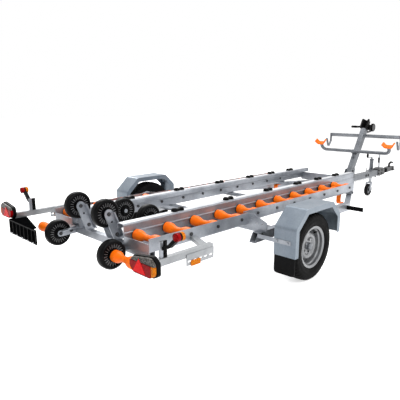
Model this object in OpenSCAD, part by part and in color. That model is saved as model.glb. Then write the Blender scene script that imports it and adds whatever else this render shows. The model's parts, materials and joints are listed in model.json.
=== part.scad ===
// Single-axle boat trailer: two channels of keel rollers on a tube frame,
// a drawbar with overrun coupling and jockey wheel, a winch post with mast
// carriers, and a cluster of support wheels at the rear.
// Sizes are in millimetres. Places are measured from the point on the ground
// under the middle of the axle: x forward, y to the left, z up.

/* [Wheels] */
// Distance between the middle planes of the road wheels
track_w = 2170; // [2120:10:2220]
// Radius of the road tyre
tyre_r = 295; // [285:1:305]
// Width of the road tyre
tyre_w = 165; // [145:1:180]
// Radius of the rim's bead seat
bead_r = 165; // [160:1:170]
// Distance of the wheel disc outside the wheel's middle plane
disc_offset = 12; // [5:1:20]
// Radius of the stub axle
stub_r = 17; // [15:0.5:20]
// Radius of the brake drum
drum_r = 112; // [100:1:120]

/* [Frame] */
// Height of the frame tubes' top above the ground
frame_top_z = 425; // [415:1:430]
// Height of the side tubes and drawbar legs
tube_h = 80; // [70:1:85]
// Width of the side tubes and drawbar legs
tube_w = 60; // [50:1:70]
// Wall of all frame tubes
tube_wall = 4; // [3:0.5:6]
// Distance of the side tubes inside the wheels' middle planes
side_gap = 280; // [265:1:295]
// Rear end of the side tubes, behind the axle
side_rear = 345; // [330:5:360]
// Length that the slanted tube end leans back
side_slant = 45; // [0:5:60]
// Place where the side tubes turn into the drawbar legs
leg_bend_x = 1300; // [1250:10:1350]
// Place where the drawbar legs' middle lines meet
leg_meet_x = 3100; // [3000:10:3200]
// Width of the spine tube
spine_w = 80; // [70:1:100]
// Height of the spine tube
spine_h = 90; // [80:1:100]
// Front end of the spine tube
spine_front = 3930; // [3850:10:3950]
// Side of the square axle tube
axle_tube = 70; // [60:1:75]
// Place of the axle tube ahead of the wheels
axle_lead = 130; // [110:1:150]

/* [Roller channels] */
// Sheet thickness of the folded channels
sheet = 4; // [3:0.5:5]
// Bend radius of folded sheet
bend_r = 10; // [8:1:14]
// Clear height between the frame tubes and the channels
bearer_h = 33; // [30:1:45]
// Height of the channel's inner wall
inner_wall_h = 150; // [140:1:160]
// Height of the channel's outer wall
outer_wall_h = 102; // [95:1:110]
// Distance of the inner wall from the middle
inner_y = 378; // [370:1:385]
// Distance of the outer wall from the middle, behind the step
outer_rear_y = 674; // [665:1:685]
// Distance of the outer wall from the middle, ahead of the step
outer_front_y = 618; // [610:1:630]
// Width of the flange on the inner wall
flange_w = 76; // [60:1:80]
// Height of the flange's turned-down lip
lip_h = 46; // [30:1:50]
// Rear end of the channels, behind the axle
channel_rear = 1380; // [1370:5:1390]
// Place of the step in the outer wall, behind the axle
channel_step = 280; // [270:5:290]
// Front end of the outer walls
channel_front = 1840; // [1830:10:1860]
// Front end of the inner walls
rail_front = 2320; // [2280:10:2400]

/* [Keel rollers] */
// Number of rollers in each channel
roller_count = 11; // [11:1:11]
// Distance between rollers
roller_pitch = 300; // [298:1:302]
// Place of the rearmost roller, behind the axle
roller_first = 1274; // [1265:1:1280]
// Largest radius of a roller
roller_r = 44; // [40:0.5:46]
// Radius of a roller's waist
roller_waist = 24; // [20:0.5:28]
// Height of the roller shafts above the channel floor
roller_lift = 56; // [54:0.5:60]
// Radius of the roller shafts
shaft_r = 9; // [8:0.5:10]
// Space between a roller's end and the wall
roller_gap = 13; // [10:1:16]
// Length of a slide pad
pad_l = 118; // [100:1:130]
// Width of a slide pad
pad_w = 56; // [40:1:60]
// Height of a slide pad
pad_h = 30; // [20:1:36]

/* [Rear support wheels] */
// Radius of a support wheel
support_r = 110; // [100:1:112]
// Width of a support wheel
support_w = 75; // [65:1:78]
// Radius of a support wheel's pin
pin_r = 10; // [9:0.5:12]
// Thickness of the arm plates
arm_t = 8; // [6:0.5:10]
// Width of the upper arm plates
arm_w = 74; // [64:1:80]
// Width of the lower and front arm plates
low_arm_w = 52; // [44:1:60]
// Width of the flange bent outward along an arm's edge
arm_flange = 34; // [20:1:40]
// Height of the rear cross tube
rear_tube_h = 60; // [50:1:65]
// Place of the rear cross tube, behind the axle
rear_tube_x = 1335; // [1325:1:1340]

/* [Winch post] */
// Place of the post's foot on the spine
post_foot_x = 2960; // [2920:10:3000]
// Length of the post
post_l = 800; // [780:5:820]
// Forward lean of the post
post_lean = 32; // [30:0.5:34]
// Depth of the post's tube, seen from the side
post_d = 90; // [80:1:100]
// Width of the post's tube
post_w = 70; // [60:1:80]
// Half length of the upper mast bar
upper_bar_l = 540; // [500:5:580]
// Side of the upper mast bar
upper_bar_d = 38; // [34:1:42]
// Half length of the lower mast bar
lower_bar_l = 525; // [490:5:560]
// Radius of the lower mast bar
lower_bar_r = 24; // [20:0.5:28]

/* [Mudguards] */
// Width of a mudguard
guard_w = 205; // [195:1:215]
// Height of a mudguard's top above the ground
guard_top_z = 664; // [655:1:680]
// Half length of a mudguard
guard_reach = 352; // [345:1:365]
// Sheet thickness of a mudguard
guard_t = 3; // [2:0.5:4]
// Height of the mudguard's turned-down outer lip
guard_lip = 44; // [30:1:55]
// Bottom edge of the mudflap above the ground
flap_bottom_z = 115; // [90:5:140]

/* [Lamps and plate] */
// Rear face of the tail lamps, behind the axle
lamp_rear = 1700; // [1680:5:1720]
// Distance of the tail lamps' middle inside the wheels' middle planes
lamp_inset = 85; // [75:1:95]
// Width of a tail lamp
lamp_w = 240; // [220:1:250]
// Height of a tail lamp
lamp_h = 132; // [120:1:140]
// Width of the number plate holder
plate_w = 530; // [520:1:535]
// Height of the number plate holder
plate_h = 125; // [115:1:130]

/* [Coupling] */
// Front end of the coupling head
nose_x = 4640; // [4620:5:4660]
// Height of the tow ball's middle above the ground
ball_z = 410; // [400:1:420]
// Radius of the ball socket
ball_r = 25.2; // [25.1:0.1:25.5]

/* [Jockey wheel] */
// Place of the jockey tube ahead of the axle
jockey_x = 4010; // [3990:5:4060]
// Distance of the jockey tube from the middle
jockey_y = 112; // [108:1:120]
// Radius of the jockey wheel
jockey_r = 100; // [90:1:102]
// Width of the jockey wheel
jockey_w = 60; // [50:1:64]
// Trail of the jockey wheel behind its tube
jockey_trail = 60; // [50:1:65]
// Lift of the jockey wheel when it is wound up
jockey_lift = 120; // [80:5:120]

/* [Hidden] */
$fn = 48;
running_gap = 0.06;
hole_gap = 0.3;
swing_gap = 7;
head_r = 15;
head_t = 8;
bolt_sides = 6;

// The part's own origin is on the ground in the middle of its length
mid_x = (nose_x - lamp_rear) / 2;

tube_low_z = frame_top_z - tube_h;
spine_z = frame_top_z + 25 - spine_h;
spine_top_z = spine_z + spine_h;
axle_z = tube_low_z - axle_tube / 2;
floor_z = frame_top_z + bearer_h + sheet / 2;
flange_z = floor_z + inner_wall_h;
outer_top_z = floor_z + outer_wall_h;
roller_z = floor_z + roller_lift;
wheel_y = track_w / 2;
side_y = wheel_y - side_gap;
lamp_y = wheel_y - lamp_inset;
guard_in_y = wheel_y - 85;
guard_out_y = guard_in_y + guard_w;
flange_top_z = flange_z + sheet / 2;
bearer_w = 60;
bearer_front_x = channel_front - 75;
spine_rear = bearer_front_x + bearer_w;

// Steel plate and strip thickness of brackets
bracket_t = 5;

// Places of the slide pads along the inner walls
pad_places = [-806, -166, 458, 1017, 1462, 1892];

// Support wheels on the left: place along, distance from the middle, height
support_low = [-rear_tube_x - 172, 398, 419];
support_high = [-rear_tube_x - 83, 201, 674];
support_front = [-rear_tube_x + 347, 178, 562];
arm_y = support_high.y + support_w / 2 + swing_gap;
low_arm_y = support_low.y - support_w / 2 - swing_gap - arm_t;
end_roller_l = 240;

colour_zinc = [0.70, 0.72, 0.75];
colour_steel = [0.55, 0.56, 0.58];
colour_orange = [1.0, 0.42, 0.02];
colour_rubber = [0.06, 0.06, 0.065];
colour_red = [0.75, 0.03, 0.03];
colour_alu = [0.82, 0.83, 0.84];

// Paths of folded sheet and bent strip
function unit(v) = v / norm(v);
function left_of(v) = [-v.y, v.x];
function bearing(v) = atan2(v.y, v.x);
function half_turn(a) = a > 180 ? a - 360 : a < -180 ? a + 360 : a;
function arc_corner(a, b, c, r, steps) =
    let (
        to_a = unit(a - b),
        to_c = unit(c - b),
        half = acos(to_a * to_c) / 2,
        centre = b + unit(to_a + to_c) * r / sin(half),
        first = bearing(b + to_a * r / tan(half) - centre),
        sweep = half_turn(bearing(b + to_c * r / tan(half) - centre) - first)
    )
    [for (i = [0:steps]) centre + r * [cos(first + sweep * i / steps), sin(first + sweep * i / steps)]];
function rounded(path, r, steps = 3) = [
    path[0],
    for (i = [1:len(path) - 2]) each arc_corner(path[i - 1], path[i], path[i + 1], r, steps),
    path[len(path) - 1]
];
function rounded_loop(path, r, steps = 3) =
    let (n = len(path))
    [for (i = [0:n - 1]) each arc_corner(path[(i + n - 1) % n], path[i], path[(i + 1) % n], r, steps)];
function side_line(path, d) = [
    for (i = [0:len(path) - 1])
        let (
            last = len(path) - 1,
            before = left_of(unit(path[max(i, 1)] - path[max(i, 1) - 1])),
            after = left_of(unit(path[min(i, last - 1) + 1] - path[min(i, last - 1)]))
        )
        path[i] + d * (before + after) / (1 + before * after)
];
function backwards(list) = [for (i = [len(list) - 1:-1:0]) list[i]];
module strip(path, t) {
    polygon(concat(side_line(path, t / 2), backwards(side_line(path, -t / 2))));
}

// Flat shapes set along one axis of the trailer
module along_x(x0, x1) {
    translate([x0, 0, 0]) rotate([90, 0, 90]) linear_extrude(x1 - x0) children();
}
module along_y(y0, y1) {
    translate([0, y1, 0]) rotate([90, 0, 0]) linear_extrude(y1 - y0) children();
}
module along_z(z0, z1) {
    translate([0, 0, z0]) linear_extrude(z1 - z0) children();
}
module box(low, high) {
    translate(low) cube(high - low);
}
module rod_y(x, z, y0, y1, r) {
    translate([x, y0, z]) rotate([-90, 0, 0]) cylinder(r = r, h = y1 - y0);
}
module elbow(bend, r) {
    rotate([90, 0, 90]) rotate_extrude(angle = 90) translate([bend, 0]) circle(r);
}
module rod_x(x0, x1, y, z, r) {
    translate([x0, y, z]) rotate([0, 90, 0]) cylinder(r = r, h = x1 - x0);
}
module spun_y(x, y, z) {
    translate([x, y, z]) rotate([-90, 0, 0]) rotate_extrude($fn = 96) children();
}
function half_round(centre, r, first, steps = 10) =
    [for (i = [0:steps]) centre + r * [cos(first + 180 * i / steps), sin(first + 180 * i / steps)]];
module slot_bar(p, q, w) {
    along = bearing(q - p);
    polygon(concat(half_round(p, w / 2, along + 90), half_round(q, w / 2, along - 90)));
}
module soft_square(size, r) {
    for (x = [r, size.x - r], y = [r, size.y - r]) translate([x, y]) circle(r);
    translate([r, 0]) square([size.x - 2 * r, size.y]);
    translate([0, r]) square([size.x, size.y - 2 * r]);
}
module on_right() { mirror([0, 1, 0]) children(); }
module both_sides() { children(); on_right() children(); }
module placed() { translate([-mid_x, 0, 0]) children(); }

// Side tubes and drawbar legs share one bent middle line
frame_line = [[-side_rear - side_slant, side_y], [leg_bend_x, side_y], [leg_meet_x, 0]];
module frame_run(i, w) {
    outer = side_line(frame_line, w / 2);
    inner = side_line(frame_line, -w / 2);
    polygon([outer[i], outer[i + 1], inner[i + 1], inner[i]]);
}
module frame_tube(i) {
    difference() {
        along_z(tube_low_z, frame_top_z) frame_run(i, tube_w);
        along_z(tube_low_z + tube_wall, frame_top_z - tube_wall) frame_run(i, tube_w - 2 * tube_wall);
    }
}
module side_tube() {
    slant = [[-side_rear - side_slant, tube_low_z], [-side_rear, frame_top_z],
             [-side_rear - 2 * side_slant - 1, frame_top_z], [-side_rear - 2 * side_slant - 1, tube_low_z]];
    color(colour_zinc) difference() {
        frame_tube(0);
        along_y(side_y - tube_w, side_y + tube_w) polygon(slant);
    }
}
module drawbar_leg() {
    color(colour_zinc) difference() {
        frame_tube(1);
        box([spine_rear, -spine_w, 0], [spine_front, spine_w / 2, frame_top_z + 1]);
    }
}
module spine_tube() {
    wall = [tube_wall, tube_wall];
    color(colour_zinc) along_x(spine_rear, spine_front) translate([-spine_w / 2, spine_z]) difference() {
        square([spine_w, spine_h]);
        translate(wall) square([spine_w, spine_h] - 2 * wall);
    }
}

// Cross bearers carry the channels on the frame tubes
bearer_rows = [
    // place of the rear edge, half length
    [-channel_step, side_y + tube_w / 2],
    [700, side_y + tube_w / 2],
    [bearer_front_x, outer_front_y + 10]
];
outrigger_x = bearer_rows[0][0];
module bearer(x, reach) {
    along_y(-reach, reach) translate([x, frame_top_z]) difference() {
        square([bearer_w, bearer_h]);
        translate([tube_wall, -1]) square([bearer_w - 2 * tube_wall, bearer_h - tube_wall + 1]);
    }
}
module outrigger() {
    foot_y = outer_rear_y + sheet / 2;
    tip_y = side_y + tube_w / 2 + 40;
    hole_r = 9;
    holes = [[foot_y + 40, frame_top_z + 90], [foot_y + 95, frame_top_z + 60], [foot_y + 150, frame_top_z + 60]];
    along_x(outrigger_x - bracket_t, outrigger_x) difference() {
        polygon([[foot_y, frame_top_z], [tip_y, frame_top_z], [tip_y, frame_top_z + 80],
                 [foot_y + 60, outer_top_z], [foot_y, outer_top_z]]);
        for (hole = holes) translate(hole) circle(hole_r);
    }
}
module bow_bridge() {
    x = rail_front - 60;
    reach = inner_y - sheet / 2;
    along_x(x, x + bracket_t) translate([-reach, spine_top_z]) square([2 * reach, flange_z - lip_h - 10 - spine_top_z]);
    box([x, -reach, spine_top_z], [x + 40, reach, spine_top_z + bracket_t]);
}
module cross_bearers() {
    color(colour_zinc) {
        for (row = bearer_rows) bearer(row[0], row[1]);
        both_sides() outrigger();
        bow_bridge();
    }
}

// Rubber-sprung axle with trailing arms and stub axles
stub_plate_y = side_y + tube_w / 2 + 65;
stub_plate_t = 30;
stub_end_y = wheel_y + disc_offset + 8;
module axle_beam() {
    reach = stub_plate_y;
    color(colour_zinc) along_y(-reach, reach) translate([axle_lead - axle_tube / 2, axle_z - axle_tube / 2])
        difference() {
            square(axle_tube);
            translate([tube_wall, tube_wall]) square(axle_tube - 2 * tube_wall);
        }
}
module stub_arm() {
    arm = 84;
    along_y(stub_plate_y, stub_plate_y + stub_plate_t) slot_bar([0, tyre_r], [axle_lead, axle_z], arm);
    rod_y(0, tyre_r, stub_plate_y + stub_plate_t, stub_end_y, stub_r);
}
module stub_arms() { color(colour_steel) both_sides() stub_arm(); }

// Road wheel
drum_in_y = stub_plate_y + stub_plate_t + 6;
disc_y = wheel_y + disc_offset;
disc_t = 6;
module tyre_section() {
    half = tyre_w / 2;
    flank = [[bead_r + hole_gap, half - 22.4], [bead_r + 18.5, half - 18.4], [bead_r + 26, half - 11],
             [bead_r + 45, half - 3], [bead_r + 70, half],
             [tyre_r - 32, half - 3], [tyre_r - 14, half - 13], [tyre_r - 4, half - 28], [tyre_r, half - 50]];
    polygon(concat(flank, [for (p = backwards(flank)) [p.x, -p.y]]));
}
module tyre() { color(colour_rubber) spun_y(0, wheel_y, tyre_r) tyre_section(); }
module rim_section() {
    half = tyre_w / 2 - 22;
    wall = 5;
    edge = 17;
    well = 14;
    polygon([[bead_r + edge, half + 10], [bead_r + edge, half + 4], [bead_r, half], [bead_r, -half],
             [bead_r + edge, -half - 4], [bead_r + edge, -half - 10], [bead_r - wall, -half - 4],
             [bead_r - wall, -half + 20], [bead_r - well, -half + 30], [bead_r - well, half - 30],
             [bead_r - wall, half - 20], [bead_r - wall, half + 4]]);
}
module disc_section() {
    hub_in = 32;
    seat = 70;
    crown = [84, 100];
    rise = 14;
    fit = [bead_r - 5, -22];
    polygon([[hub_in, 0], [seat, 0], [crown[0], rise], [crown[1], rise], fit, fit + [0, disc_t],
             [crown[1] + 2, rise + disc_t], [crown[0] - 2, rise + disc_t], [seat - 2, disc_t], [hub_in, disc_t]]);
}
module rim() {
    vents = 15;
    vent_ring_r = 124;
    vent_l = 28;
    vent_w = 17;
    bolts = 5;
    bolt_ring_r = 56;
    color(colour_alu) {
        difference() {
            union() {
                spun_y(0, wheel_y, tyre_r) rim_section();
                spun_y(0, disc_y, tyre_r) disc_section();
            }
            for (i = [1:vents]) translate([0, disc_y - 40, tyre_r]) rotate([0, i * 360 / vents, 0])
                translate([vent_ring_r, 0, 0]) rotate([-90, 0, 0]) linear_extrude(80)
                    slot_bar([0, vent_w - vent_l] / 2, [0, vent_l - vent_w] / 2, vent_w);
        }
        for (i = [1:bolts]) translate([0, disc_y + disc_t, tyre_r]) rotate([0, i * 360 / bolts, 0])
            translate([bolt_ring_r, 0, 0]) rotate([-90, 0, 0]) cylinder(r = 11, h = 12, $fn = bolt_sides);
    }
}
module brake_drum() {
    shell_l = 70;
    hub_r = 62;
    cap_r = 28;
    bore_r = stub_r + running_gap;
    cap_end = disc_y + disc_t + 30;
    color(colour_steel) difference() {
        union() {
            rod_y(0, tyre_r, drum_in_y, drum_in_y + shell_l, drum_r);
            rod_y(0, tyre_r, drum_in_y + shell_l, disc_y, hub_r);
            rod_y(0, tyre_r, disc_y, cap_end, cap_r);
        }
        rod_y(0, tyre_r, drum_in_y - 1, stub_end_y + 5, bore_r);
    }
}

// Folded roller channel with its keel rollers
function channel_line(outer_y) = rounded([
    [inner_y - flange_w, flange_z - lip_h], [inner_y - flange_w, flange_z], [inner_y, flange_z],
    [inner_y, floor_z], [outer_y, floor_z], [outer_y, outer_top_z]], bend_r);
rail_line = rounded([
    [inner_y - flange_w, flange_z - lip_h], [inner_y - flange_w, flange_z],
    [inner_y, flange_z], [inner_y, floor_z + bend_r + sheet]], bend_r);
function roller_x(i) = -roller_first + roller_pitch * i;
function outer_at(x) = x < -channel_step ? outer_rear_y : outer_front_y;
window_l = 130;
end_plate_h = 62;
module channel_windows() {
    for (i = [0:roller_count - 2]) {
        x = roller_x(i) + roller_pitch / 2;
        if (abs(x + channel_step) > window_l) {
            low_y = inner_y + 60;
            high_y = outer_at(x) - 60;
            translate([x - window_l / 2, low_y, floor_z - sheet])
                linear_extrude(2 * sheet) soft_square([window_l, high_y - low_y], 30);
        }
    }
}
module roller_channel() {
    color(colour_zinc) difference() {
        union() {
            along_x(-channel_rear, -channel_step) strip(channel_line(outer_rear_y), sheet);
            along_x(-channel_step, channel_front) strip(channel_line(outer_front_y), sheet);
            along_x(channel_front, rail_front) strip(rail_line, sheet);
            along_x(-channel_step - sheet, -channel_step) translate([outer_front_y, floor_z])
                square([outer_rear_y - outer_front_y, outer_wall_h]);
            along_x(-channel_rear, -channel_rear + sheet) translate([inner_y, floor_z])
                square([outer_rear_y - inner_y, end_plate_h]);
        }
        for (i = [0:roller_count - 1])
            rod_y(roller_x(i), roller_z, inner_y - 20, outer_rear_y + 20, shaft_r + hole_gap);
        channel_windows();
    }
}
module roller_section(l, bore_r) {
    steps = 18;
    edge = 6;
    waist = 0.15;
    barrel = 0.72;
    function share(u) = max(0, min(1, (abs(u) - waist) / (barrel - waist)));
    function waist_r(u) = roller_waist + (roller_r - roller_waist) * pow(share(u), 2) * (3 - 2 * share(u));
    polygon(concat(
        [[bore_r, -l / 2], [roller_r - edge, -l / 2]],
        [for (i = [0:steps]) let (u = 2 * i / steps - 1) [waist_r(u), u * (l / 2 - edge)]],
        [[roller_r - edge, l / 2], [bore_r, l / 2]]));
}
module keel_rollers() {
    low_y = inner_y + sheet / 2 + roller_gap;
    color(colour_orange) for (i = [0:roller_count - 1]) {
        x = roller_x(i);
        high_y = outer_at(x) - sheet / 2 - roller_gap;
        spun_y(x, (low_y + high_y) / 2, roller_z) roller_section(high_y - low_y, shaft_r + hole_gap);
    }
}
module roller_shaft(x) {
    low_y = inner_y - sheet / 2;
    high_y = outer_at(x) + sheet / 2;
    rod_y(x, roller_z, low_y, high_y, shaft_r);
    rod_y(x, roller_z, low_y - head_t, low_y, head_r, $fn = bolt_sides);
    rod_y(x, roller_z, high_y, high_y + head_t, head_r, $fn = bolt_sides);
}
module roller_shafts() {
    color(colour_steel) both_sides() for (i = [0:roller_count - 1]) roller_shaft(roller_x(i));
}
module slide_pads() {
    y = inner_y - flange_w / 2 - pad_w / 2;
    color(colour_rubber) both_sides() for (x = pad_places)
        translate([x - pad_l / 2, y, flange_top_z]) linear_extrude(pad_h) soft_square([pad_l, pad_w], pad_w / 2 - 6);
}

// Orange clips hang open to the front under the front bearer's ends
module strap_hooks() {
    thick = 18;
    deep = 52;
    tall = 140;
    reach = 56;
    x = bearer_front_x + bearer_w / 2;
    y = outer_front_y - 150;
    line = rounded([[reach, -thick / 2], [-reach / 2, -thick / 2], [-reach / 2, thick / 2 - tall],
                    [reach, thick / 2 - tall]], 30, 5);
    color(colour_orange) both_sides() translate([x, 0, frame_top_z]) along_y(y - deep / 2, y + deep / 2)
        strip(line, thick);
}

// Rear cross tube, rocker arms and support wheels
rear_tube_top = floor_z - sheet / 2;
rear_tube_w = 50;
rear_tube_in = [tube_wall, tube_wall];
rear_face_x = -rear_tube_x - rear_tube_w / 2;
module rear_cross_tube() {
    reach = outer_rear_y - 20;
    size = [rear_tube_w, rear_tube_h];
    color(colour_zinc) along_y(-reach, reach) translate([rear_face_x, rear_tube_top - rear_tube_h]) difference() {
        square(size);
        translate(rear_tube_in) square(size - 2 * rear_tube_in);
    }
}
module rocker() {
    low = [support_low.x, support_low.z];
    high = [support_high.x, support_high.z];
    front = [support_front.x, support_front.z];
    foot = [-rear_tube_x, rear_tube_top];
    cap_r = pin_r + 7;
    cap_t = 5;
    pin_end = support_w + 2 * swing_gap;
    inner_arm_y = arm_y - pin_end - arm_t;
    low_pin_end = low_arm_y + arm_t + pin_end + end_roller_l;
    front_pin_start = support_front.y + support_w / 2 + swing_gap;
    along_y(low_arm_y, low_arm_y + arm_t) {
        translate(low) circle(d = low_arm_w);
        polygon([low + [0, low_arm_w / 2], [rear_face_x, rear_tube_top], [rear_face_x, rear_tube_top - rear_tube_h],
                 low - [0, low_arm_w / 2]]);
    }
    along_y(low_arm_y - arm_flange, low_arm_y + arm_t) polygon([
        low + [0, low_arm_w / 2], [rear_face_x, rear_tube_top],
        [rear_face_x, rear_tube_top - arm_t], low + [0, low_arm_w / 2 - arm_t]]);
    rod_y(low.x, low.y, low_arm_y + arm_t, low_pin_end, pin_r);
    rod_y(low.x, low.y, low_pin_end, low_pin_end + cap_t, cap_r);
    edge = left_of(unit(foot - high)) * arm_w / 2;
    front_edge = left_of(unit(foot - front)) * low_arm_w / 2;
    difference() {
        union() {
            along_y(arm_y, arm_y + arm_t) {
                slot_bar(high, foot, arm_w);
                slot_bar(front, foot, low_arm_w);
            }
            along_y(inner_arm_y, inner_arm_y + arm_t) slot_bar(high, foot, arm_w);
            along_y(inner_arm_y - arm_flange, inner_arm_y + arm_t) strip([high + edge, foot + edge], arm_t);
            along_y(arm_y, arm_y + arm_flange) {
                strip([high + edge, foot + edge], arm_t);
                strip([front - front_edge, foot - front_edge], arm_t);
            }
        }
        along_y(0, arm_y + 2 * arm_flange) {
            translate(foot - [arm_w * 2, arm_w * 2]) square([arm_w * 4, arm_w * 2]);
            translate(high + 0.3 * (foot - high)) circle(9);
        }
    }
    rod_y(high.x, high.y, inner_arm_y, arm_y, pin_r);
    rod_y(front.x, front.y, front_pin_start - pin_end, arm_y, pin_r);
    rod_y(front.x, front.y, front_pin_start, arm_y, cap_r);
    rod_y(front.x, front.y, front_pin_start - pin_end, front_pin_start - pin_end + cap_t, cap_r);
}
module rocker_left() { color(colour_zinc) rocker(); }
module rocker_right() { on_right() rocker_left(); }
module end_rollers() {
    y = low_arm_y + arm_t + support_w + 2 * swing_gap + end_roller_l / 2;
    color(colour_orange) both_sides() spun_y(support_low.x, y, support_low.z)
        roller_section(end_roller_l, pin_r + hole_gap);
}
module support_section() {
    half = support_w / 2;
    bore = pin_r + running_gap;
    web_half = half - 14;
    tread_in = support_r - 30;
    polygon([[bore, -half], [34, -half], [40, -web_half], [tread_in, -web_half], [tread_in + 6, -half],
             [support_r - 8, -half], [support_r, -half + 16], [support_r, half - 16], [support_r - 8, half],
             [tread_in + 6, half], [tread_in, web_half], [40, web_half], [34, half], [bore, half]]);
}
module support_ribs(side) {
    ribs = 20;
    rib_w = 7;
    low_y = side > 0 ? support_w / 2 - 15 : -support_w / 2 + 2;
    for (i = [1:ribs]) rotate([0, i * 360 / ribs, 0])
        translate([36, low_y, -rib_w / 2]) cube([support_r - 64, 13, rib_w]);
}
module support_wheel(place) {
    color(colour_rubber) translate([place.x, place.y, place.z]) {
        spun_y(0, 0, 0) support_section();
        for (side = [-1, 1]) support_ribs(side);
    }
}

// Winch post and what it carries; post places are [across, along] its middle line
module on_post(along) {
    translate([post_foot_x, 0, spine_top_z]) rotate([0, post_lean, 0]) translate([0, 0, along]) children();
}
module winch_post() {
    foot_l = 200;
    foot_low = spine_top_z - frame_top_z;
    foot_high = 110;
    ring_r = 24;
    ring_at = 300;
    inner = [post_d - 2 * tube_wall, post_w - 2 * tube_wall];
    plate_y = spine_w / 2;
    ring_x = -post_d / 2 - ring_r + 4;
    color(colour_zinc) {
        difference() {
            on_post(-100) translate([-post_d / 2, -post_w / 2, 0]) cube([post_d, post_w, post_l + 100]);
            on_post(-110) translate([-inner.x / 2, -inner.y / 2, 0]) cube([inner.x, inner.y, post_l + 110 - tube_wall]);
            box([post_foot_x - 400, -200, 0], [post_foot_x + 400, 200, spine_top_z]);
        }
        for (side = [0, 1]) mirror([0, side, 0])
            along_y(plate_y, plate_y + bracket_t) polygon([
                [post_foot_x - foot_l / 2, spine_top_z - foot_low], [post_foot_x + foot_l / 2, spine_top_z - foot_low],
                [post_foot_x + foot_l / 2 + 20, spine_top_z + foot_high], [post_foot_x - 20, spine_top_z + foot_high]]);
        for (side = [0, 1]) mirror([0, side, 0])
            box([post_foot_x - 60, post_w / 2 - 1, spine_top_z], [post_foot_x + 60, plate_y + 1, spine_top_z + 8]);
        on_post(ring_at) translate([ring_x, -5, 0]) rotate([-90, 0, 0]) difference() {
            cylinder(r = ring_r, h = 10);
            translate([0, 0, -1]) cylinder(r = 14, h = 12);
        }
    }
}
// A rubber block with a notch for the bow stands on the post's end
module bow_stop() {
    tall = 150;
    reach = 58;
    notch = 30;
    front = post_d / 2;
    color(colour_rubber) on_post(post_l) linear_extrude(tall)
        polygon([[front, -post_w / 2], [front, post_w / 2], [-front + notch, reach - 12], [-front - 12, reach],
                 [-front - 18, reach - 20], [-front + notch, 0], [-front - 18, 20 - reach], [-front - 12, -reach],
                 [-front + notch, 12 - reach]]);
}
upper_bar_at = 724;
lower_bar_at = 386;
module upper_bar() {
    wall = 3;
    hole = upper_bar_d - 2 * wall;
    color(colour_zinc) on_post(upper_bar_at) translate([post_d / 2 + upper_bar_d / 2, 0, 0]) rotate([-90, 0, 0])
        translate([0, 0, -upper_bar_l]) linear_extrude(2 * upper_bar_l) difference() {
            square(upper_bar_d, center = true);
            square(hole, center = true);
        }
}
function on_post_point(across, along) = [
    post_foot_x + across * cos(post_lean) + along * sin(post_lean),
    spine_top_z - across * sin(post_lean) + along * cos(post_lean)];
module mast_hooks() {
    wire = 12;
    wide = 26;
    start = on_post_point(post_d / 2 + upper_bar_d / 2, upper_bar_at);
    over = 24;
    drop = 190;
    reach = 135;
    line = rounded([start + [0, over], start + [0, -drop * 0.53], start + [-reach * 0.55, -drop],
                    start + [-reach, -drop * 0.29]], 14);
    color(colour_zinc) both_sides() along_y(upper_bar_l, upper_bar_l + wide) strip(line, wire);
}
// The lower bar's bent ends lean back and carry the cradles
module on_lower_bar() {
    level = on_post_point(-post_d / 2 - lower_bar_r, lower_bar_at);
    translate([level.x, 0, level.y]) rotate([0, -post_lean, 0]) children();
}
lower_bar_rise = 110;
module lower_bar() {
    bend = 70;
    saddle = 90;
    saddle_h = 60;
    straight = lower_bar_l - bend;
    color(colour_zinc) {
        on_lower_bar() {
            rod_y(0, 0, -straight, straight, lower_bar_r);
            both_sides() translate([0, straight, bend]) {
                rotate([-90, 0, 0]) elbow(bend, lower_bar_r);
                translate([0, bend, 0]) cylinder(r = lower_bar_r, h = lower_bar_rise - bend);
            }
        }
        on_post(lower_bar_at) translate([-post_d / 2 - lower_bar_r, -saddle / 2, -saddle_h / 2])
            cube([lower_bar_r, saddle, saddle_h]);
    }
}
module mast_cradles() {
    thick = 20;
    half_w = 80;
    deep = 64;
    rise = 62;
    line = rounded([[-half_w, rise], [-half_w * 0.55, thick / 2], [half_w * 0.55, thick / 2], [half_w, rise]], 30, 4);
    color(colour_orange) both_sides() on_lower_bar() translate([0, lower_bar_l, lower_bar_rise])
        along_x(-deep / 2, deep / 2) strip(line, thick);
}

// The winch stands level on the post's slanted top
module on_winch() {
    on_post(post_l) rotate([0, -post_lean, 0]) children();
}
winch_shelf_z = -35;
winch_plate_y = 52;
winch_boss_t = 14;
drum_at = [142, winch_shelf_z + 62];
crank_at = drum_at + [14, 36];
function post_front(z) = [
    (post_d / 2 + z * sin(post_lean)) / cos(post_lean), z];
module winch() {
    plate_h = 122;
    shelf_front = 200;
    shelf_rear = post_front(winch_shelf_z).x + 12;
    gusset = 25;
    drum_r = 30;
    cheek_r = 46;
    gear_r = 54;
    gear_t = 30;
    out_y = winch_plate_y + bracket_t;
    color(colour_steel) on_winch() {
        box([shelf_rear, -out_y, winch_shelf_z], [shelf_front, out_y, winch_shelf_z + bracket_t]);
        both_sides() translate([0, 0, winch_shelf_z]) along_y(winch_plate_y, out_y)
            polygon([[shelf_rear, 0], [shelf_front, 0], [shelf_front, plate_h - 30], [shelf_front - 22, plate_h],
                     [shelf_rear + 80, plate_h]]);
        rod_y(drum_at.x, drum_at.y, -winch_plate_y, winch_plate_y, drum_r);
        for (y = [-winch_plate_y + 4, winch_plate_y - 8]) rod_y(drum_at.x, drum_at.y, y, y + 4, cheek_r);
        rod_y(drum_at.x, drum_at.y, -out_y - gear_t, -out_y, gear_r);
        rod_y(crank_at.x, crank_at.y, out_y, out_y + winch_boss_t, 12);
        along_y(-post_w / 2, post_w / 2) polygon([
            post_front(winch_shelf_z - gusset), post_front(winch_shelf_z), [shelf_front - 30, winch_shelf_z],
            [shelf_front - 30, winch_shelf_z - 8]]);
    }
}
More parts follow.
